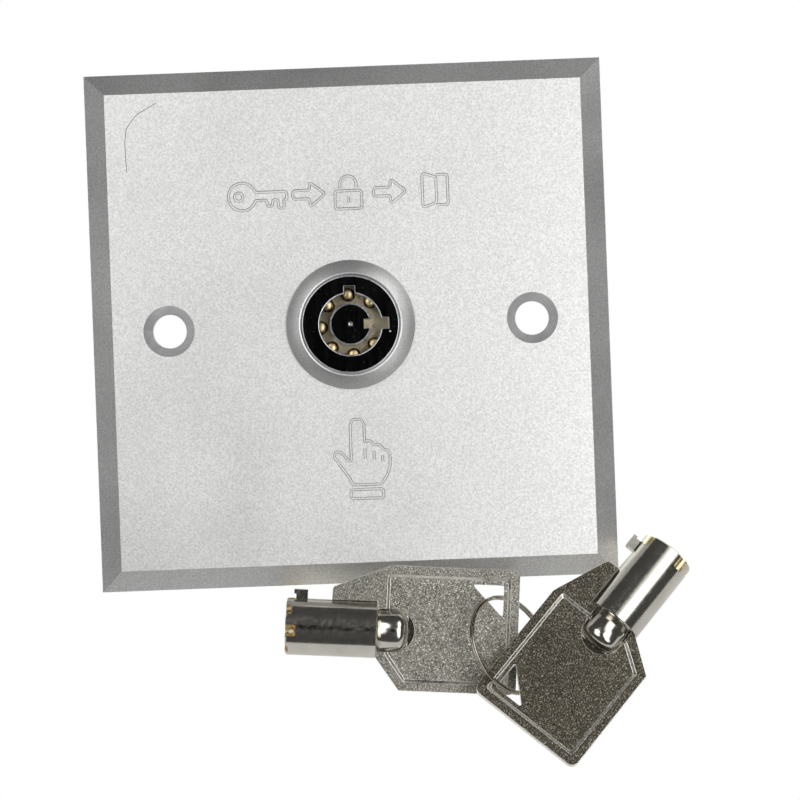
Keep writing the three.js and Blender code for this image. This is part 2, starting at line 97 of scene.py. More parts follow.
RING_R = box_mm("trim_ring")[1].x
RING_INNER_R = 8.25
RING_SHELF_Y = -3.8
POST_R = 3.5
POST_TOP_Y = box_mm("rotor")[0].y
PIN_CIRCLE_R = 5.0
PIN_CLOCKS = tuple(clock + 3.5 for clock in (90, 45, 135, 180, 225, 270, 315))
PIN_R = 0.9
PIN_REACH = 3.55
PIN_DOME = 0.42
PIN_CHAMBER_R = 1.12
PIN_TRAVELS = (2.4, 1.5, 2.5, 1.85, 3.0, 2.1, 1.3)

KEY_TUBE_R = 4.7
KEY_BORE_R = 3.65
KEY_LENGTH = 15.0
NECK_R = 3.45
NECK_LENGTH = 3.3
DOME_LENGTH = 2.0
BOW_HALF = 0.9
PANEL_HALF = 0.55
BOW_BACK, BOW_TOP, BOW_BOTTOM = -23.2, 10.7, -9.8
BOW_RIM = 1.45
BOW_STEP_SLOPE = 0.42
BOW_CORNER = 1.25
WING_BOTTOM = KEY_TUBE_R + 0.04
NIB_HALF = 0.85
NIB_BACK = 3.4
BIT_CIRCLE_R = 4.9
BIT_R = 1.0
BIT_FLOOR_R = 0.75
SHALLOWEST_BIT = 0.5
SLOT_R = 3.52
SLOT_END = -2.45
RING_HOLE = ((-15.4, 8.1), (-20.6, 8.1), (-20.6, 2.8))

# Each key: where its barrel meets the bow, the direction of the barrel seen from the front, how far
# the tip leans and the nib side rolls towards the wall, and which face is seen.
KEY_PLACES = {
    1: {"at": (2.48, -5.6, -50.48), "angle": 175.5, "tilt": 0.0, "roll": 0.0, "seen": 1},
    2: {"at": (41.07, -8.42, -50.44), "angle": 47.46, "tilt": 14.16, "roll": 11.3, "seen": -1},
}
SPLIT_RING = {"centre": (24.2, -7.59, -53.65), "normal": (0.649, -0.671, 0.358), "mean_r": 8.21}


# ------------------------------------------------------------------ mesh helpers

def make_object(name, verts, faces):
    mesh = bpy.data.meshes.new(name)
    mesh.from_pydata([tuple(v) for v in verts], [], faces)
    mesh.validate()
    bm = bmesh.new()
    bm.from_mesh(mesh)
    bmesh.ops.remove_doubles(bm, verts=bm.verts, dist=1e-5)
    bmesh.ops.recalc_face_normals(bm, faces=bm.faces)
    bm.to_mesh(mesh)
    bm.free()
    obj = bpy.data.objects.new(name, mesh)
    bpy.context.scene.collection.objects.link(obj)
    return obj


def turned(name, profile, segments=128):
    """A solid turned about the y axis from (radius, y) points, closed on the axis or on itself."""
    verts, rings = [], []
    for radius, y in profile:
        count = 1 if radius < 1e-6 else segments
        rings.append((len(verts), count))
        for i in range(count):
            angle = TAU * i / segments
            verts.append((radius * math.cos(angle), y, radius * math.sin(angle)))
    faces = []
    closed = profile[0][0] > 1e-6
    for level in range(len(rings) if closed else len(rings) - 1):
        (a, count_a), (b, count_b) = rings[level], rings[(level + 1) % len(rings)]
        if count_a == 1 and count_b == 1:
            continue
        for i in range(segments):
            j = (i + 1) % segments
            corners = [a + i % count_a, a + j % count_a, b + j % count_b, b + i % count_b]
            faces.append(tuple(dict.fromkeys(corners)))
    return make_object(name, verts, faces)


def prism(name, outline, y0, y1):
    """A flat outline of (x, z) points drawn out along y."""
    count = len(outline)
    verts = [(x, y, z) for y in (y0, y1) for x, z in outline]
    faces = [tuple(range(count)), tuple(range(count, 2 * count))]
    faces += [(i, (i + 1) % count, count + (i + 1) % count, count + i) for i in range(count)]
    return make_object(name, verts, faces)


def block(name, low, high):
    return prism(name, [(low[0], low[2]), (high[0], low[2]), (high[0], high[2]), (low[0], high[2])],
                 low[1], high[1])


def arc(cx, cz, radius, start, end, steps=8):
    """Points of an arc, angles in degrees."""
    return [(cx + radius * math.cos(math.radians(start + (end - start) * i / steps)),
             cz + radius * math.sin(math.radians(start + (end - start) * i / steps)))
            for i in range(steps + 1)]


def rounded(points, radius, closed=True, steps=4):
    """A line of (x, z) points with its corners rounded."""
    flat = [Vector(point) for point in points]
    count = len(flat)
    out = []
    for i, corner in enumerate(flat):
        if not closed and i in (0, count - 1):
            out.append(tuple(corner))
            continue
        before, after = flat[i - 1] - corner, flat[(i + 1) % count] - corner
        turn = before.angle(after)
        if turn > math.radians(172):
            out.append(tuple(corner))
            continue
        reach = min(radius / math.tan(turn / 2), before.length * 0.48, after.length * 0.48)
        start, end = corner + before.normalized() * reach, corner + after.normalized() * reach
        for step in range(steps + 1):
            t = step / steps
            out.append(tuple(start * (1 - t) ** 2 + corner * 2 * t * (1 - t) + end * t * t))
    return out


def swept(name, path, section, closed=False):
    """A section of (across, up) points carried along a path of (origin, across, up) frames."""
    count = len(section)
    verts = [origin + across * a + up * b for origin, across, up in path for a, b in section]
    faces = []
    stations = len(path)
    for s in range(stations if closed else stations - 1):
        t = (s + 1) % stations
        faces += [(s * count + i, s * count + (i + 1) % count, t * count + (i + 1) % count, t * count + i)
                  for i in range(count)]
    if not closed:
        faces += [tuple(range(count)), tuple((stations - 1) * count + i for i in range(count))]
    return make_object(name, verts, faces)


def bake(obj):
    """Applies every modifier."""
    bpy.context.view_layer.update()
    evaluated = obj.evaluated_get(bpy.context.evaluated_depsgraph_get())
    mesh = bpy.data.meshes.new_from_object(evaluated)
    obj.modifiers.clear()
    old, obj.data = obj.data, mesh
    bpy.data.meshes.remove(old)
    return obj


def combine(base, tool, operation, crossing=False):
    """Adds, cuts or keeps a tool; crossing says that the tool's own surface may cross itself."""
    modifier = base.modifiers.new("boolean", "BOOLEAN")
    modifier.operation = operation
    modifier.solver = "EXACT"
    modifier.use_self = crossing
    modifier.material_mode = "TRANSFER"
    modifier.object = tool
    bake(base)
    bpy.data.objects.remove(tool)
    return base


def cut(base, *tools):
    for tool in tools:
        combine(base, tool, "DIFFERENCE")
    return base


def join(base, *others):
    for other in others:
        combine(base, other, "UNION")
    return base


def moved(obj, matrix):
    obj.data.transform(matrix)
    return obj


def shifted(obj, x=0.0, y=0.0, z=0.0):
    return moved(obj, Matrix.Translation((x, y, z)))


def soften(obj, width, segments=2, angle=30, edge_material=-1):
    """Rounds every edge sharper than the angle."""
    modifier = obj.modifiers.new("bevel", "BEVEL")
    modifier.width = width
    modifier.segments = segments
    modifier.limit_method = "ANGLE"
    modifier.angle_limit = math.radians(angle)
    modifier.use_clamp_overlap = True
    modifier.harden_normals = True
    modifier.material = edge_material
    obj.data.shade_smooth()
    return bake(obj)


def smooth(obj, angle=35):
    obj.data.shade_smooth()
    obj.data.set_sharp_from_angle(angle=math.radians(angle))
    return obj


def paint(obj, *materials):
    obj.data.materials.clear()
    for material in materials:
        obj.data.materials.append(material)
    return obj


def place(obj, body, slot, *nodes, matrix=None):
    """Puts a finished piece on its body, in metres, in place of its CAD nodes."""
    if matrix is not None:
        obj.data.transform(matrix)
    obj.data.transform(Matrix.Scale(MM, 4))
    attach(obj, body)
    if nodes:
        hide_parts(*nodes)
    return obj


# ------------------------------------------------------------------ materials

def shader(name, colour, metallic, roughness):
    """A material with a Principled shader, and helpers to add nodes to it."""
    material = bpy.data.materials.new(name)
    material.use_nodes = True
    tree = material.node_tree
    principled = tree.nodes["Principled BSDF"]
    principled.inputs["Base Color"].default_value = (*colour, 1)
    principled.inputs["Metallic"].default_value = metallic
    principled.inputs["Roughness"].default_value = roughness
    coordinates = tree.nodes.new("ShaderNodeTexCoord")
    return material, tree, principled, coordinates.outputs["Object"]


def noise(tree, vector, scale, detail=2.0, rough=0.5, stretch=None):
    node = tree.nodes.new("ShaderNodeTexNoise")
    node.inputs["Scale"].default_value = scale
    node.inputs["Detail"].default_value = detail
    node.inputs["Roughness"].default_value = rough
    if stretch:
        mapping = tree.nodes.new("ShaderNodeMapping")
        mapping.inputs["Scale"].default_value = stretch
        tree.links.new(vector, mapping.inputs["Vector"])
        vector = mapping.outputs["Vector"]
    tree.links.new(vector, node.inputs["Vector"])
    return node.outputs["Fac"]


def ramp(tree, value, low, high, out_low, out_high):
    """Maps low..high of a value to out_low..out_high, clamped."""
    node = tree.nodes.new("ShaderNodeMapRange")
    node.inputs["From Min"].default_value = low
    node.inputs["From Max"].default_value = high
    node.inputs["To Min"].default_value = out_low
    node.inputs["To Max"].default_value = out_high
    tree.links.new(value, node.inputs["Value"])
    return node.outputs["Result"]


def tint(tree, factor, dark, bright):
    node = tree.nodes.new("ShaderNodeMix")
    node.data_type = "RGBA"
    node.inputs["A"].default_value = (*dark, 1)
    node.inputs["B"].default_value = (*bright, 1)
    tree.links.new(factor, node.inputs["Factor"])
    return node.outputs["Result"]


def bump(tree, principled, height, strength, distance, under=None):
    node = tree.nodes.new("ShaderNodeBump")
    node.inputs["Strength"].default_value = strength
    node.inputs["Distance"].default_value = distance
    tree.links.new(height, node.inputs["Height"])
    if under is not None:
        tree.links.new(under, node.inputs["Normal"])
    tree.links.new(node.outputs["Normal"], principled.inputs["Normal"])
    return node.outputs["Normal"]


def blasted_metal(name, dark, bright, roughness, grain, strength):
    """Sand-blasted metal: fine grain in the height, and sparkle in the colour."""
    material, tree, principled, place_of = shader(name, bright, 1.0, roughness)
    fine = noise(tree, place_of, grain, detail=3, rough=0.65)
    broad = noise(tree, place_of, grain / 60, detail=2)
    speck = ramp(tree, fine, 0.36, 0.64, 0, 1)
    tree.links.new(tint(tree, speck, dark, bright), principled.inputs["Base Color"])
    gloss = ramp(tree, broad, 0.3, 0.7, roughness - 0.04, roughness + 0.04)
    tree.links.new(gloss, principled.inputs["Roughness"])
    bump(tree, principled, fine, strength, 0.00006)
    return material


def cast_metal(name, dark, middle, bright, roughness, grain):
    """Plated die casting: even metal with dark and bright grains strewn over it."""
    material, tree, principled, place_of = shader(name, middle, 1.0, roughness)
    fine = noise(tree, place_of, grain, detail=2, rough=0.8)
    other = noise(tree, place_of, grain * 0.6, detail=3, rough=0.8, stretch=(1, 1.1, 0.9))
    broad = noise(tree, place_of, grain / 40, detail=2)
    darker = tint(tree, ramp(tree, other, 0.33, 0.52, 0, 1), dark, middle)
    lighter = tint(tree, ramp(tree, fine, 0.54, 0.66, 0, 1), middle, bright)
    mix = tree.nodes.new("ShaderNodeMix")
    mix.data_type = "RGBA"
    tree.links.new(darker, mix.inputs["A"])
    tree.links.new(lighter, mix.inputs["B"])
    tree.links.new(ramp(tree, fine, 0.5, 0.6, 0, 1), mix.inputs["Factor"])
    tree.links.new(mix.outputs["Result"], principled.inputs["Base Color"])
    gloss = ramp(tree, broad, 0.3, 0.7, roughness - 0.05, roughness + 0.05)
    tree.links.new(gloss, principled.inputs["Roughness"])
    bump(tree, principled, fine, 0.3, 0.00005)
    return material


def polished_metal(name, dark, bright, roughness, scratch=(1, 1, 1), scratch_strength=0.05, grain=1500,
                   flecks=0.0):
    """Plated or turned metal: faint clouds, hairlines along one direction, and optional dull flecks."""
    material, tree, principled, place_of = shader(name, bright, 1.0, roughness)
    cloud = noise(tree, place_of, 260, detail=3)
    lines = noise(tree, place_of, grain, detail=4, rough=0.7, stretch=scratch)
    colour = tint(tree, ramp(tree, cloud, 0.35, 0.65, 0, 1), dark, bright)
    tree.links.new(colour, principled.inputs["Base Color"])
    gloss = ramp(tree, lines, 0.3, 0.75, roughness * 0.6, roughness * 1.6)
    if flecks:
        spots = ramp(tree, noise(tree, place_of, 2600, detail=3, rough=0.75), flecks, flecks + 0.05, 0, 0.4)
        add = tree.nodes.new("ShaderNodeMath")
        add.operation = "ADD"
        tree.links.new(gloss, add.inputs[0])
        tree.links.new(spots, add.inputs[1])
        gloss = add.outputs["Value"]
    tree.links.new(gloss, principled.inputs["Roughness"])
    bump(tree, principled, lines, scratch_strength, 0.00002)
    return material


def plastic(name, colour, roughness):
    material, tree, principled, place_of = shader(name, colour, 0.0, roughness)
    grain = noise(tree, place_of, 6000, detail=2)
    cloud = noise(tree, place_of, 200, detail=2)
    lighter = tuple(min(1, c * 1.5 + 0.004) for c in colour)
    tree.links.new(tint(tree, cloud, colour, lighter), principled.inputs["Base Color"])
    gloss = ramp(tree, cloud, 0.3, 0.7, roughness - 0.06, roughness + 0.06)
    tree.links.new(gloss, principled.inputs["Roughness"])
    bump(tree, principled, grain, 0.25, 0.00004)
    return material


ANODISED = blasted_metal("anodised_blasted", (0.66, 0.66, 0.655), (0.92, 0.92, 0.91), 0.46, 3800, 0.24)
CUT_ALUMINIUM = polished_metal("cut_aluminium", (0.62, 0.62, 0.62), (0.74, 0.74, 0.74), 0.38,
                               scratch_strength=0.05)
SATIN_RING = blasted_metal("satin_ring", (0.7, 0.7, 0.695), (0.9, 0.9, 0.89), 0.42, 5000, 0.1)
# Dark groove walls, hairline and edge nick: painted shade in the engraving.
GROOVE_PAINTED_SHADE = blasted_metal("groove_painted_shade", (0.12, 0.12, 0.12), (0.24, 0.24, 0.24), 0.5, 3800, 0.2)
CHROME = polished_metal("chrome", (0.55, 0.56, 0.58), (0.66, 0.67, 0.69), 0.07,
                        scratch=(1, 1, 0.06), scratch_strength=0.06, grain=2500, flecks=0.68)
# A brighter, rougher copy of the chrome for chamfers and rounded edges: painted highlight.
CHROME_PAINTED_HIGHLIGHT = polished_metal("chrome_edge_painted_highlight", (0.8, 0.81, 0.84), (0.95, 0.96, 0.98), 0.3)
GAP_SHADE = polished_metal("pin_gap_shade", (0.03, 0.025, 0.02), (0.07, 0.06, 0.045), 0.5)
BRASS_FLOOR = polished_metal("dull_brass", (0.42, 0.36, 0.25), (0.62, 0.55, 0.4), 0.45, scratch_strength=0.2)
GOLD_PIN = polished_metal("pin_brass", (0.48, 0.38, 0.2), (0.72, 0.59, 0.34), 0.34, scratch_strength=0.08)
CUT_BRASS = polished_metal("cut_brass", (0.78, 0.62, 0.34), (0.95, 0.8, 0.5), 0.3, scratch_strength=0.04)
NICKEL = polished_metal("polished_nickel", (0.66, 0.64, 0.57), (0.76, 0.73, 0.65), 0.14,
                        scratch_strength=0.012)
# A much brighter copy of the bow's nickel for its walls, ring hole and rounded edges: painted highlight.
NICKEL_PAINTED_HIGHLIGHT = polished_metal("nickel_edge_painted_highlight", (0.8, 0.78, 0.71), (0.96, 0.93, 0.86), 0.3)
CAST_GRAIN = 4600
GRAINED_NICKEL = cast_metal("grained_nickel", (0.03, 0.029, 0.024), (0.26, 0.25, 0.215), (1.0, 0.98, 0.88),
                            0.42, CAST_GRAIN)
# A dark copy of the bow's nickel for its flat y < 0 faces: painted shade.
NICKEL_PAINTED_SHADE = cast_metal("nickel_painted_shade", (0.02, 0.018, 0.013), (0.08, 0.072, 0.054), (0.5, 0.46, 0.38),
                         0.36, CAST_GRAIN)
SLOT_SHADE = cast_metal("slot_shade", (0.015, 0.014, 0.012), (0.04, 0.037, 0.03), (0.12, 0.11, 0.09),
                        0.5, CAST_GRAIN)
RING_STEEL = polished_metal("ring_steel", (0.3, 0.265, 0.225), (0.5, 0.46, 0.405), 0.22,
                            scratch_strength=0.04)
ZINC_STEEL = polished_metal("zinc_steel", (0.55, 0.56, 0.57), (0.62, 0.63, 0.64), 0.34, scratch_strength=0.05)
SPRING_BRASS = polished_metal("spring_brass", (0.55, 0.38, 0.16), (0.8, 0.6, 0.3), 0.25)
BLACK_PLASTIC = plastic("black_plastic", (0.018, 0.018, 0.02), 0.45)
RED_PLASTIC = plastic("red_plastic", (0.45, 0.03, 0.02), 0.35)


# ------------------------------------------------------------------ engraved signs

GROOVE_WIDE = 0.46
GROOVE_DEEP = 0.15
HAIRLINE = ((-30.9, 37.9), (-34.2, 36.1), (-36.0, 33.9), (-36.3, 31.5), (-36.2, 26.5))
EDGE_NICK = (33.65, 39.6)


def groove(points, closed=True, wide=GROOVE_WIDE, deep=GROOVE_DEEP, corner=0.45):
    """A cutter for a round-cornered groove of even width along (x, z) points of the front face, with painted
    shade on its walls.
    """
    flat = [Vector((x, 0, z)) for x, z in rounded(points, corner, closed)]
    count = len(flat)
    path = []
    for i, point in enumerate(flat):
        before = flat[i - 1] if closed or i > 0 else None
        after = flat[(i + 1) % count] if closed or i < count - 1 else None
        into = (point - before).normalized() if before is not None else (after - point).normalized()
        out = (after - point).normalized() if after is not None else into
        along = (into + out).normalized()
        path.append((point, Vector((along.z, 0, -along.x)), Vector((0, 1, 0))))
    half = wide / 2
    foot = half * 0.6
    section = [(half, FRONT_Y), (foot, FRONT_Y + deep), (-foot, FRONT_Y + deep), (-half, FRONT_Y),
               (-half, FRONT_Y - 0.3), (half, FRONT_Y - 0.3)]
    cutter = swept("groove", path, section, closed)
    paint(cutter, GROOVE_PAINTED_SHADE, ANODISED)
    for polygon in cutter.data.polygons:
        if polygon.center.y > FRONT_Y + deep * 0.98 and wide > 0.3:
            polygon.material_index = 1
    return cutter


def at(points, x, z):
    return [(x + px, z + pz) for px, pz in points]


def rectangle(x0, z0, x1, z1):
    return [(x0, z0), (x1, z0), (x1, z1), (x0, z1)]


def hand_sign(x, z):
    """A pointing hand over its cuff: pointing finger, three folded fingers, thumb and wrist."""
    outline = [
        (-1.75, 5.6), (-1.3, 6.55), (0.1, 6.55), (0.55, 5.6), (0.55, 2.7), (1.1, 3.0), (1.75, 2.75),
        (2.1, 2.1), (2.75, 2.35), (3.3, 2.0), (3.6, 1.35), (4.2, 1.35), (4.7, 0.7), (4.65, -1.3),
        (4.1, -2.9), (3.1, -4.3), (-1.6, -4.3), (-2.3, -2.9), (-3.6, -1.1), (-4.6, 0.5), (-4.25, 1.35),
        (-3.3, 1.1), (-1.75, -0.9)]
    lines = [[(0.55, 1.7), (0.55, 0.0)], [(2.05, 1.2), (2.05, -0.2)], [(3.45, 0.5), (3.45, -0.6)]]
    cuff = rectangle(-2.0, -6.6, 3.4, -5.1)
    folds = [groove(at(line, x, z), False) for line in lines]
    return [groove(at(outline, x, z)), groove(at(cuff, x, z))] + folds


def key_sign(x, z):
    bow = arc(0, 0, 2.3, 17, 343, 24)
    shank = [(6.9, -0.65), (6.9, -2.1), (5.95, -2.1), (5.95, -0.65), (5.0, -0.65), (5.0, -1.7), (4.1, -1.7),
             (4.1, -0.65)]
    blade = shank[::-1] + [(7.4, -0.65), (7.4, 0.65)]
    return [groove(at(bow + blade, x, z)), groove(at(arc(-0.6, 0, 0.7, 0, 340, 12), x, z))]


def arrow_sign(x, z):
    outline = [(-2.6, -0.7), (0.2, -0.7), (0.2, -2.1), (2.8, 0), (0.2, 2.1), (0.2, 0.7), (-2.6, 0.7)]
    return [groove(at(outline, x, z))]


def door_sign(x, z):
    """A door frame with its leaf standing open."""
    jamb = [(0.4, 2.5), (2.3, 2.5), (2.3, -2.5), (0.4, -2.5)]
    leaf = [(-1.9, -2.9), (0.4, -2.1), (0.4, 2.1), (-1.9, 2.9)]
    return [groove(at(jamb, x, z), False), groove(at(leaf, x, z))]


def padlock_sign(x, z):
    body = rectangle(-2.2, -2.6, 2.2, 0.4)
    shackle = [(-1.35, 0.9)] + arc(0, 1.5, 1.35, 180, 0, 10) + [(1.35, 0.9)]
    keyhole = [(0, -0.6), (0, -1.6)]
    return [groove(at(body, x, z)), groove(at(shackle, x, z), False), groove(at(keyhole, x, z), False)]


def face_plate():
    half = HALF_SIDE
    inner = half - BEVEL_WIDE
    levels = [(half, 0.0), (half, -EDGE_THICK), (inner, FRONT_Y)]
    verts = [(sx * r, y, sz * r) for r, y in levels for sx, sz in ((-1, -1), (1, -1), (1, 1), (-1, 1))]
    faces = [(0, 1, 2, 3), (8, 9, 10, 11)]
    for level in (0, 4):
        faces += [(level + i, level + (i + 1) % 4, level + 4 + (i + 1) % 4, level + 4 + i) for i in range(4)]
    plate = make_object("face_plate_blasted", verts, faces)
    paint(plate, ANODISED)
    sink_slope = (SINK_R - SCREW_HOLE_R) / SINK_DEPTH
    for side in (-1, 1):
        cutter = turned("screw_cutter", [
            (0, 1), (SCREW_HOLE_R, 1), (SCREW_HOLE_R, FRONT_Y + SINK_DEPTH),
            (SINK_R + sink_slope, FRONT_Y - 1), (0, FRONT_Y - 1)], 96)
        paint(cutter, CUT_ALUMINIUM)
        cut(plate, shifted(cutter, x=side * SCREW_X))
    lock_hole = [(0, 1), (LOCK_HOLE_R, 1), (LOCK_HOLE_R, FRONT_Y - 1), (0, FRONT_Y - 1)]
    cut(plate, turned("lock_cutter", lock_hole, 96))
    signs = (
        key_sign(-17.2, 21.8) + arrow_sign(-6.2, 21.8) + padlock_sign(0.4, 21.8)
        + arrow_sign(7.2, 21.8) + door_sign(14.6, 21.8) + hand_sign(1.0, -22.3)
    )
    # The hairline and the edge nick are painted dark all over with the same painted shade.
    signs.append(paint(groove(HAIRLINE, False, wide=0.11, deep=0.03, corner=3.0), GROOVE_PAINTED_SHADE))
    for cutter in signs:
        combine(plate, cutter, "DIFFERENCE", crossing=True)
    nick = turned("nick", [(0, 0.15), (0.3, -0.3), (0, -0.3)], 12)
    cut(plate, paint(shifted(nick, EDGE_NICK[0], FRONT_Y, EDGE_NICK[1]), GROOVE_PAINTED_SHADE))
    soften(plate, 0.06, 2, 14)
    place(plate, "root", "anodised_aluminium", "face_plate")


def trim_ring():
    foot, top = FRONT_Y, box_mm("trim_ring")[0].y
    cone = []
    for i in range(13):
        t = i / 12
        radius = RING_R + (RING_INNER_R + 0.25 - RING_R) * t
        bulge = 0.05 * math.sin(math.pi * t)
        cone.append((radius, foot - 0.5 + (top - foot + 0.5) * t - bulge))
    profile = [(BARREL_CLEAR_R, foot), (RING_R, foot)] + cone
    profile += [(RING_INNER_R, top + 0.12), (RING_INNER_R, RING_SHELF_Y), (BARREL_CLEAR_R, RING_SHELF_Y)]
    ring = turned("trim_ring_satin", profile, 160)
    paint(ring, SATIN_RING)
    soften(ring, 0.06, 2, 30)
    place(ring, "root", "satin_ring", "trim_ring")


# ------------------------------------------------------------------ lock

def lock_casing():
    chamfer = 0.14
    profile = [
        (LIP_R + chamfer, FACE_Y), (FLANGE_R - chamfer, FACE_Y), (FLANGE_R, FACE_Y + chamfer),
        (FLANGE_R, FLANGE_BACK_Y), (BODY_R, FLANGE_BACK_Y), (BODY_R, THREAD_RELIEF_Y),
        (BODY_R - THREAD_DEPTH, THREAD_FOOT_Y), (BODY_R - THREAD_DEPTH, CASING_END_Y),
        (REAR_HOLE_R, CASING_END_Y), (REAR_HOLE_R, BORE_END_Y), (BORE_R, BORE_END_Y), (BORE_R, LIP_BACK_Y),
        (LIP_R, LIP_BACK_Y), (LIP_R, FACE_Y + chamfer),
    ]
    casing = turned("lock_casing_chrome", profile, 160)
    reach = 0.5
    front, back = FACE_Y - reach, LIP_BACK_Y + 0.01
    cut(casing,
        block("notch", (-NOTCH_HALF, front, LIP_R - reach), (NOTCH_HALF, back, NOTCH_R)),
        block("notch", (LIP_R - reach, front, -NOTCH_HALF), (NOTCH_R, back, NOTCH_HALF)),
        shifted(turned("dot", [(0, 0.12), (0.22, -0.3), (0, -0.3)], 16), 6.5, FACE_Y, -1.4))
    # The casing's rounded edges get the chrome's painted highlight.
    paint(casing, CHROME, CHROME_PAINTED_HIGHLIGHT)
    soften(casing, 0.07, 2, 28, edge_material=1)
    place(casing, "root", "chrome", "lock_casing")
    thread = helical_thread("casing_thread", BODY_R, THREAD_DEPTH, THREAD_PITCH, THREAD_START_Y,
                            CASING_END_Y - THREAD_END_GAP)
    paint(thread, ZINC_STEEL)
    smooth(thread, 60)
    place(thread, "root", "chrome")


def helical_thread(name, outer, depth, pitch, y0, y1, segments=96, rows_per_turn=8):
    """A threaded sleeve: one surface whose radius follows a rounded saw of the given pitch."""
    rows = int((y1 - y0) / pitch * rows_per_turn)
    inner = outer - depth - 0.25
    verts = []
    for row in range(rows + 1):
        y = y0 + (y1 - y0) * row / rows
        fade = min(1.0, (y - y0) / pitch, (y1 - y) / pitch)
        for i in range(segments):
            angle = TAU * i / segments
            phase = (y / pitch + i / segments) % 1.0
            height = 1 - abs(2 * phase - 1)
            radius = outer - depth + depth * fade * (height * height * (3 - 2 * height))
            verts.append((radius * math.cos(angle), y, radius * math.sin(angle)))
    for y in (y1, y0):
        verts += [(inner * math.cos(TAU * i / segments), y, inner * math.sin(TAU * i / segments))
                  for i in range(segments)]
    faces = []
    levels = rows + 3
    for level in range(levels):
        a, b = level * segments, (level + 1) % levels * segments
        faces += [(a + i, a + (i + 1) % segments, b + (i + 1) % segments, b + i) for i in range(segments)]
    return make_object(name, verts, faces)


def rotor():
    floor_y, shear_y = 0.0, 5.0
    flange_r, spindle_r = 6.4, 2.4
    end_y = box_mm("rotor")[1].y
    profile = [
        (0, POST_TOP_Y + 0.22), (0.22, POST_TOP_Y + 0.17), (0.4, POST_TOP_Y), (POST_R - 0.28, POST_TOP_Y),
        (POST_R, POST_TOP_Y + 0.28), (POST_R, floor_y), (flange_r, floor_y), (flange_r, shear_y),
        (spindle_r, shear_y), (spindle_r, end_y), (0, end_y),
    ]
    body = turned("rotor_post", profile, 128)
    # The band at the post's top chamfer gets the chrome's painted highlight.
    paint(body, CHROME, BRASS_FLOOR, CHROME_PAINTED_HIGHLIGHT)
    for polygon in body.data.polygons:
        if polygon.center.y > floor_y - 0.01:
            polygon.material_index = 1
        elif POST_TOP_Y + 0.02 < polygon.center.y < POST_TOP_Y + 0.2 and polygon.center.xz.length > 2:
            polygon.material_index = 2
    slot_deep, slot_half = 2.2, 0.8
    flat_start_y, flat_half, beyond = 17, 1.9, 4
    tools = [
        block("slot", (2.2, POST_TOP_Y - 1, -slot_half), (POST_R + 1, POST_TOP_Y + slot_deep, slot_half)),
        block("flat", (-beyond, flat_start_y, flat_half), (beyond, end_y + 1, beyond)),
        block("flat", (-beyond, flat_start_y, -beyond), (beyond, end_y + 1, -flat_half)),
    ]
    for tool in tools:
        paint(tool, BRASS_FLOOR)
    for clock in PIN_CLOCKS:
        chamber = turned("chamber", [(0, -1), (PIN_CHAMBER_R, -1), (PIN_CHAMBER_R, 6), (0, 6)], 32)
        tools.append(paint(on_clock(chamber, clock, PIN_CIRCLE_R), GAP_SHADE))
    cut(body, *tools)
    soften(body, 0.05, 2, 30)
    place(body, "rotor", "brass", "rotor")


def on_clock(obj, clock, radius):
    """Moves a piece made about the y axis out to a clock position."""
    angle = math.radians(clock)
    return shifted(obj, radius * math.cos(angle), 0, radius * math.sin(angle))


def key_pins():
    for i, clock in enumerate(PIN_CLOCKS):
        node = f"key_pin_{i + 1}"
        low, high = box_mm(node)
        dome = [(PIN_R * math.sin(math.radians(a)), low.y + PIN_DOME * (1 - math.cos(math.radians(a))))
                for a in range(0, 91, 10)]
        pin = turned(f"{node}_domed", dome + [(PIN_R, high.y), (0, high.y)], 48)
        paint(on_clock(pin, clock, PIN_CIRCLE_R), GOLD_PIN)
        smooth(pin)
        place(pin, node, "gold_pin", node)


# ------------------------------------------------------------------ clamping hardware and micro-switch

def toothed_washer():
    low, high = box_mm("toothed_washer")
    teeth = 24
    outline = []
    for i in range(teeth):
        for share, radius in ((0.0, 0.9), (0.3, 1.0), (0.55, 1.0), (0.7, 0.9)):
            angle = TAU * (i + share) / teeth
            outline.append((high.x * radius * math.cos(angle), high.x * radius * math.sin(angle)))
    washer = prism("toothed_washer_star", outline, low.y, high.y)
    cut(washer, turned("bore", [(0, -1), (BARREL_CLEAR_R, -1), (BARREL_CLEAR_R, 3), (0, 3)], 64))
    paint(washer, ZINC_STEEL)
    soften(washer, 0.08, 2)
    place(washer, "root", "steel", "toothed_washer")


def hex_nut():
    low, high = box_mm("hex_nut")
    flats = 9.0
    corner = flats / math.cos(math.pi / 6)
    hexagon = [(corner * math.cos(math.radians(60 * i + 30)), corner * math.sin(math.radians(60 * i + 30)))
               for i in range(6)]
    nut = prism("hex_nut_chamfered", hexagon, low.y, high.y)
    chamfer = 0.75
    barrel = turned("nut_barrel", [
        (0, low.y), (flats + 0.2, low.y), (corner + 0.1, low.y + chamfer), (corner + 0.1, high.y - chamfer),
        (flats + 0.2, high.y), (0, high.y)], 96)
    combine(nut, barrel, "INTERSECT")
    cut(nut, turned("bore", [(0, 0), (NUT_BORE_R, 0), (NUT_BORE_R, 8), (0, 8)], 96))
    paint(nut, NICKEL)
    soften(nut, 0.1, 2, 25)
    place(nut, "root", "nickel", "hex_nut")


FINISHES = {
    "steel": ZINC_STEEL, "brass": BRASS_FLOOR, "gold_pin": GOLD_PIN, "nickel": NICKEL,
    "contact_brass": SPRING_BRASS, "black_plastic": BLACK_PLASTIC, "red_plastic": RED_PLASTIC,
    "chrome": CHROME, "satin_ring": SATIN_RING, "anodised_aluminium": ANODISED,
    "cast_nickel": GRAINED_NICKEL, "ring_steel": RING_STEEL,
}
SLOTS = {part["node"]: part["material_slot"] for part in frame["record"]["subparts"]}

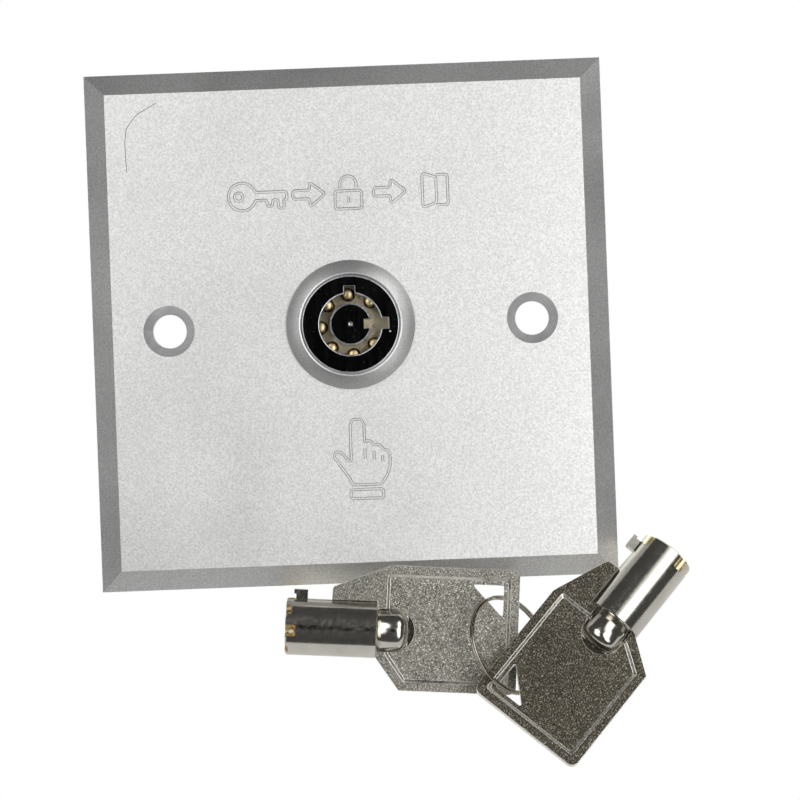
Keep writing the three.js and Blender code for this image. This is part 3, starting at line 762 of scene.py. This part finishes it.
# Pieces behind the plate whose CAD shape is right, and the width of the rounding on their edges.
ROUNDED_PIECES = {
    "root": {
        "pin_housing": 0.12, "housing_cross_pin": 0.1, "switch_bracket": 0.12, "switch_base": 0.2,
        "switch_cover": 0.2, "contact_blade": 0.03, "terminal_common": 0.08, "terminal_normally_open": 0.08,
        "terminal_normally_closed": 0.08, "switch_screw_1": 0.1, "switch_screw_2": 0.1,
    },
    "rotor": {"cam": 0.1, "cam_screw": 0.1},
    "plunger": {"switch_plunger": 0.1},
}


def carried_over():
    """Every CAD piece gets its finish, whether or not a finer piece takes its place."""
    for node, obj in frame["nodes"].items():
        obj.data.materials.clear()
        obj.data.materials.append(FINISHES[SLOTS[node]])


def rounded_copy(body, node, width):
    """A CAD piece with its flat faces whole again and its edges rounded."""
    obj = bpy.data.objects.new(f"{node}_rounded", frame["nodes"][node].data.copy())
    bpy.context.scene.collection.objects.link(obj)
    obj.data.transform(Matrix.Scale(1 / MM, 4))
    mesh = bmesh.new()
    mesh.from_mesh(obj.data)
    bmesh.ops.remove_doubles(mesh, verts=mesh.verts, dist=1e-4)
    bmesh.ops.dissolve_limit(mesh, angle_limit=math.radians(0.5), verts=mesh.verts, edges=mesh.edges)
    mesh.to_mesh(obj.data)
    mesh.free()
    paint(obj, FINISHES[SLOTS[node]])
    soften(obj, width, 2, 32)
    place(obj, body, SLOTS[node], node)


def rear_pieces():
    for body, pieces in ROUNDED_PIECES.items():
        for node, width in pieces.items():
            rounded_copy(body, node, width)


def pin_springs():
    """The round-wire springs behind the driver pins."""
    turns, steps, wire = 7, 14, 0.1
    section = [(wire * math.cos(TAU * i / 8), wire * math.sin(TAU * i / 8)) for i in range(8)]
    for i in range(len(PIN_CLOCKS)):
        node = f"pin_spring_{i + 1}"
        low, high = box_mm(node)
        middle = (low + high) / 2
        coil_r = (high.x - low.x) / 2 - wire
        path = []
        for step in range(turns * steps + 1):
            out = Vector((math.cos(TAU * step / steps), 0, math.sin(TAU * step / steps)))
            y = low.y + wire + (high.y - low.y - 2 * wire) * step / (turns * steps)
            path.append((Vector((middle.x, y, middle.z)) + out * coil_r, out, Vector((0, 1, 0))))
        spring = swept(f"{node}_wire", path, section)
        paint(spring, ZINC_STEEL)
        smooth(spring, 60)
        place(spring, "root", "steel", node)


# ------------------------------------------------------------------ keys and split ring

def key_matrix(place_of):
    """The key's frame: x along the barrel, z towards the nib, y across the bow."""
    angle, tilt, roll = (math.radians(place_of[k]) for k in ("angle", "tilt", "roll"))
    to_wall = Vector((0, 1, 0))
    u = Vector((math.cos(angle), 0, math.sin(angle))) * math.cos(tilt) + to_wall * math.sin(tilt)
    side = Vector((-math.sin(angle), 0, math.cos(angle))) * -place_of["seen"]
    flat = (side - u * side.dot(u)).normalized()
    normal = flat.cross(u)
    v = flat * math.cos(roll) + normal * math.sin(roll) * (1 if normal.y > 0 else -1)
    n = v.cross(u)
    matrix = Matrix.Identity(4)
    for column, axis in enumerate((u, n, v)):
        for row in range(3):
            matrix[row][column] = axis[row]
    return Matrix.Translation(place_of["at"]) @ matrix


ALONG_X = Matrix.Rotation(-math.pi / 2, 4, "Z")


def key_barrel(number, matrix):
    profile = [
        (0, 0), (KEY_TUBE_R - 0.15, 0), (KEY_TUBE_R, 0.15), (KEY_TUBE_R, KEY_LENGTH - 0.25),
        (KEY_TUBE_R - 0.25, KEY_LENGTH), (KEY_BORE_R + 0.15, KEY_LENGTH), (KEY_BORE_R, KEY_LENGTH - 0.15),
        (KEY_BORE_R, 1.6), (0, 1.6),
    ]
    tube = turned(f"key_{number}_barrel_plated", profile, 128)
    paint(tube, NICKEL)
    nib_back = KEY_LENGTH - NIB_BACK
    head = block("nib_head", (-NIB_HALF, nib_back, KEY_TUBE_R + 0.75),
                 (NIB_HALF, KEY_LENGTH - 1.15, KEY_TUBE_R + 1.45))
    stem = block("nib_stem", (-NIB_HALF, nib_back, KEY_TUBE_R - 0.6),
                 (NIB_HALF, KEY_LENGTH - 1.5, KEY_TUBE_R + 1))
    join(tube, paint(stem, NICKEL), paint(head, NICKEL))
    for travel, clock in zip(PIN_TRAVELS, PIN_CLOCKS):
        floor = KEY_LENGTH - max(PIN_REACH - travel, SHALLOWEST_BIT)
        bit = turned("bit", [(0, floor), (BIT_FLOOR_R, floor), (BIT_R, floor + 0.25), (BIT_R, KEY_LENGTH + 1),
                             (0, KEY_LENGTH + 1)], 40)
        cut(tube, paint(on_clock(bit, clock, BIT_CIRCLE_R), CUT_BRASS))
    soften(tube, 0.09, 2, 32)
    place(tube, f"key_{number}", "nickel", f"key_{number}_barrel", matrix=matrix @ ALONG_X)


def key_neck(number, matrix):
    dome = [(NECK_R * math.cos(math.radians(a)) ** 0.8,
             -NECK_LENGTH - DOME_LENGTH * math.sin(math.radians(a)))
            for a in range(10, 90, 10)]
    profile = [(0, -0.02), (NECK_R - 0.1, -0.02), (NECK_R, -0.15), (NECK_R, -NECK_LENGTH)] + dome
    neck = turned(f"key_{number}_neck_plated", profile + [(0, -NECK_LENGTH - DOME_LENGTH)], 96)
    paint(neck, NICKEL)
    smooth(neck, 40)
    place(neck, f"key_{number}", "nickel", f"key_{number}_neck", matrix=matrix @ ALONG_X)


def bow_outline(inset):
    """The bow's outline at a distance inside its edge, without the wing when it is inset."""
    back, top, bottom = BOW_BACK + inset, BOW_TOP - inset, BOW_BOTTOM + inset
    slope = inset * 0.5
    chamfer = [(-inset, BOW_BOTTOM + 5.1 + slope), (-3.9 - slope, bottom)]
    if inset:
        return rounded(chamfer[::-1] + [(-inset, top), (back, top), (back, bottom)], 0.55)
    corner = BOW_CORNER
    return (chamfer + arc(back + corner, bottom + corner, corner, 270, 180)
            + arc(back + corner, top - corner, corner, 180, 90)
            + [(-2.2, top), (-1.2, top - 0.35), (6.0, 7.4)] + arc(7.0, 6.35, 0.55, 75, 0, 4)
            + [(7.6, WING_BOTTOM), (0, WING_BOTTOM)])


def frustum(name, lower, upper, y0, y1):
    """A solid between two outlines with the same number of points."""
    count = len(lower)
    verts = [(x, y0, z) for x, z in lower] + [(x, y1, z) for x, z in upper]
    faces = [tuple(range(count)), tuple(range(count, 2 * count))]
    faces += [(i, (i + 1) % count, count + (i + 1) % count, count + i) for i in range(count)]
    return make_object(name, verts, faces)


def bow_recess(side):
    """The sunk panel with its sloping wall, on the side y > 0 or y < 0."""
    over = 0.3
    slope = BOW_STEP_SLOPE / (BOW_HALF - PANEL_HALF)
    wide, narrow = BOW_RIM - over * slope, BOW_RIM + BOW_STEP_SLOPE
    return frustum("recess", bow_outline(narrow), bow_outline(wide), side * PANEL_HALF,
                   side * (BOW_HALF + over))


def key_bow(number, matrix):
    bow = prism(f"key_{number}_bow_grained", bow_outline(0), -BOW_HALF, BOW_HALF)
    # The bow's nickel, its painted-highlight copy and its painted-shade copy.
    paint(bow, GRAINED_NICKEL, NICKEL_PAINTED_HIGHLIGHT, NICKEL_PAINTED_SHADE)
    cut(bow, paint(bow_recess(1), GRAINED_NICKEL), paint(bow_recess(-1), GRAINED_NICKEL))
    slot = [(1, -SLOT_R)] + arc(SLOT_END - 0.2, 0, SLOT_R, 270, 90, 24) + [(1, SLOT_R)]
    web = 0.3
    for y0, y1 in ((web, 2), (-2, -web)):
        cut(bow, paint(prism("slot", slot, y0, y1), SLOT_SHADE))
    passage = moved(turned("neck_passage", [(0, -2), (NECK_R, -2), (NECK_R, NECK_LENGTH), (NECK_R * 0.7, 5.0),
                                            (0, 5.3)], 64), Matrix.Rotation(math.pi / 2, 4, "Z"))
    cut(bow, paint(passage, SLOT_SHADE))
    # The ring hole's walls get the painted highlight.
    cut(bow, paint(prism("ring_hole", rounded(RING_HOLE, 0.3), -2, 2), NICKEL_PAINTED_HIGHLIGHT))
    # Faces of the bow other than its flat faces and its slot get the painted highlight; the flat y < 0 faces,
    # seen on key 2 and hidden on key 1, get the painted shade.
    for polygon in bow.data.polygons:
        in_slot = bow.data.materials[polygon.material_index] == SLOT_SHADE
        flat_front = polygon.normal.y > 0.98 and polygon.center.y > PANEL_HALF - 0.05
        flat_back = polygon.normal.y < -0.98 and polygon.center.y < -PANEL_HALF + 0.05
        if in_slot:
            continue
        if flat_back:
            polygon.material_index = 2
        elif not flat_front:
            polygon.material_index = 1
    # Rounded edges get the painted highlight too.
    soften(bow, 0.17, 3, 24, edge_material=1)
    place(bow, f"key_{number}", "cast_nickel", f"key_{number}_bow", matrix=matrix)


def split_ring():
    """Nearly two turns of flat wire side by side, stepping over from one turn to the next."""
    turns, steps = 1.93, 200
    radial, axial = 0.29, 0.2
    crossover, half_gap, start = 0.16, 0.215, 0.6
    section = [(radial * a, axial * b) for a, b in
               ((-1, -0.6), (-0.7, -1), (0.7, -1), (1, -0.6), (1, 0.6), (0.7, 1), (-0.7, 1), (-1, 0.6))]
    path = []
    for i in range(steps + 1):
        t = turns * i / steps
        step_over = min(max((t - turns / 2) / crossover + 0.5, 0), 1)
        height = -half_gap + 2 * half_gap * step_over * step_over * (3 - 2 * step_over)
        angle = TAU * t + start
        out = Vector((math.cos(angle), 0, math.sin(angle)))
        path.append((out * SPLIT_RING["mean_r"] + Vector((0, height, 0)), out, Vector((0, 1, 0))))
    ring = swept("split_ring_wire", path, section)
    paint(ring, RING_STEEL)
    smooth(ring, 50)
    turn = Vector((0, 1, 0)).rotation_difference(Vector(SPLIT_RING["normal"]).normalized())
    matrix = Matrix.Translation(SPLIT_RING["centre"]) @ turn.to_matrix().to_4x4()
    place(ring, "ring", "ring_steel", "key_ring", matrix=matrix)


# ------------------------------------------------------------------ camera, light and floor

CAMERA_DISTANCE = 430.0
CAMERA_AIM = (7.68, -12.82)
CAMERA_ROLL = 2.17
LENS = 115.9


def camera():
    data = bpy.data.cameras.new("camera")
    data.lens = LENS
    data.sensor_width = 36
    data.clip_start = 0.01
    data.clip_end = 20
    obj = bpy.data.objects.new("camera", data)
    bpy.context.scene.collection.objects.link(obj)
    roll = math.radians(CAMERA_ROLL)
    right = Vector((math.cos(roll), 0, -math.sin(roll)))
    up = Vector((math.sin(roll), 0, math.cos(roll)))
    back = Vector((0, -1, 0))
    rotation = Matrix((right, up, back)).transposed().to_4x4()
    position = Vector((CAMERA_AIM[0], -CAMERA_DISTANCE, CAMERA_AIM[1])) * MM
    obj.matrix_world = Matrix.Translation(position) @ rotation
    bpy.context.scene.camera = obj


def direction(clock, lean):
    """A direction in front of the plate: clock counted from +x towards +z, lean away from straight out."""
    c, l = math.radians(clock), math.radians(lean)
    return Vector((math.sin(l) * math.cos(c), -math.cos(l), math.sin(l) * math.sin(c)))


# Soft boxes of the light tent, each a clock, a lean, a half width and an edge softness in degrees, and a
# brightness. The tent glows a little everywhere else, and is dark around the camera.
TENT_BASE = 0.06
TENT_RADIUS = 0.75
TENT_REACH = 100
TENT_LEVEL = 1.02
SOFT_BOXES = {
    "left_box": (180, 35, 14, 8, 2.0),
    "right_box": (0, 25, 14, 8, 3.2),
    "upper_left_box": (135, 35, 12, 8, 3.0),
    "upper_right_box": (45, 45, 15, 8, 2.0),
    "lower_right_box": (315, 35, 12, 8, 2.0),
}
# Half width and edge softness, in degrees, of the dark opening that the camera looks through.
LENS_HOLE = (7, 5)


def light_tent():
    """A round tent in front of the plate, seen only in reflections and as light."""
    rings, segments = 24, 64
    verts, faces = [(0, -TENT_RADIUS, 0)], []
    for ring in range(1, rings + 1):
        lean = TENT_REACH * ring / rings
        verts += [tuple(direction(360 * i / segments, lean) * TENT_RADIUS) for i in range(segments)]
    faces += [(0, 1 + (i + 1) % segments, 1 + i) for i in range(segments)]
    for ring in range(rings - 1):
        a, b = 1 + ring * segments, 1 + (ring + 1) * segments
        faces += [(a + i, a + (i + 1) % segments, b + (i + 1) % segments, b + i) for i in range(segments)]
    tent = make_object("light_tent", verts, faces)
    material = bpy.data.materials.new("tent_light")
    material.use_nodes = True
    tree = material.node_tree
    tree.nodes.clear()
    coordinates = tree.nodes.new("ShaderNodeTexCoord")
    normal = tree.nodes.new("ShaderNodeVectorMath")
    normal.operation = "NORMALIZE"
    tree.links.new(coordinates.outputs["Object"], normal.inputs[0])

    def patch(clock, lean, half, edge, strength):
        dot = tree.nodes.new("ShaderNodeVectorMath")
        dot.operation = "DOT_PRODUCT"
        tree.links.new(normal.outputs["Vector"], dot.inputs[0])
        dot.inputs[1].default_value = direction(clock, lean)
        shape = tree.nodes.new("ShaderNodeMapRange")
        shape.interpolation_type = "SMOOTHSTEP"
        shape.inputs["From Min"].default_value = math.cos(math.radians(half + edge))
        shape.inputs["From Max"].default_value = math.cos(math.radians(max(half - edge, 0)))
        shape.inputs["To Max"].default_value = strength
        tree.links.new(dot.outputs["Value"], shape.inputs["Value"])
        return shape.outputs["Result"]

    total = None
    for values in SOFT_BOXES.values():
        add = tree.nodes.new("ShaderNodeMath")
        add.operation = "ADD"
        tree.links.new(patch(*values), add.inputs[0])
        add.inputs[1].default_value = TENT_BASE
        if total is not None:
            tree.links.new(total, add.inputs[1])
        total = add.outputs["Value"]
    hole = patch(0, 0, LENS_HOLE[0], LENS_HOLE[1], 1.0)
    keep = tree.nodes.new("ShaderNodeMath")
    keep.operation = "SUBTRACT"
    keep.inputs[0].default_value = TENT_LEVEL
    tree.links.new(hole, keep.inputs[1])
    level = tree.nodes.new("ShaderNodeMath")
    level.operation = "MULTIPLY"
    tree.links.new(total, level.inputs[0])
    tree.links.new(keep.outputs["Value"], level.inputs[1])
    emission = tree.nodes.new("ShaderNodeEmission")
    tree.links.new(level.outputs["Value"], emission.inputs["Strength"])
    output = tree.nodes.new("ShaderNodeOutputMaterial")
    tree.links.new(emission.outputs["Emission"], output.inputs["Surface"])
    paint(tent, material)
    tent.visible_camera = False
    tent.visible_shadow = False


FLOOR_HALF = 0.5
FLOOR_FRONT_Y = -0.08
FLOOR_BACK_Y = 0.5
FLOOR_Z = -0.2


def surroundings():
    world = bpy.data.worlds.new("studio")
    world.use_nodes = True
    world.node_tree.nodes["Background"].inputs["Color"].default_value = (1, 1, 1, 1)
    world.node_tree.nodes["Background"].inputs["Strength"].default_value = 1.0
    bpy.context.scene.world = world
    bpy.context.scene.view_settings.view_transform = "Standard"
    corners = [(-FLOOR_HALF, FLOOR_FRONT_Y, FLOOR_Z), (FLOOR_HALF, FLOOR_FRONT_Y, FLOOR_Z),
               (FLOOR_HALF, FLOOR_BACK_Y, FLOOR_Z), (-FLOOR_HALF, FLOOR_BACK_Y, FLOOR_Z)]
    floor = make_object("studio_floor", corners, [(0, 1, 2, 3)])
    material, tree, principled, place_of = shader("pale_floor", (0.86, 0.86, 0.86), 0.0, 0.7)
    cloud = noise(tree, place_of, 30, detail=2)
    tree.links.new(tint(tree, cloud, (0.84, 0.84, 0.84), (0.88, 0.88, 0.88)), principled.inputs["Base Color"])
    paint(floor, material)


# ------------------------------------------------------------------ build

camera()
surroundings()
light_tent()
carried_over()
face_plate()
trim_ring()
lock_casing()
rotor()
key_pins()
toothed_washer()
hex_nut()
rear_pieces()
pin_springs()
for key_number, key_place in KEY_PLACES.items():
    frame_of_key = key_matrix(key_place)
    key_barrel(key_number, frame_of_key)
    key_neck(key_number, frame_of_key)
    key_bow(key_number, frame_of_key)
split_ring()
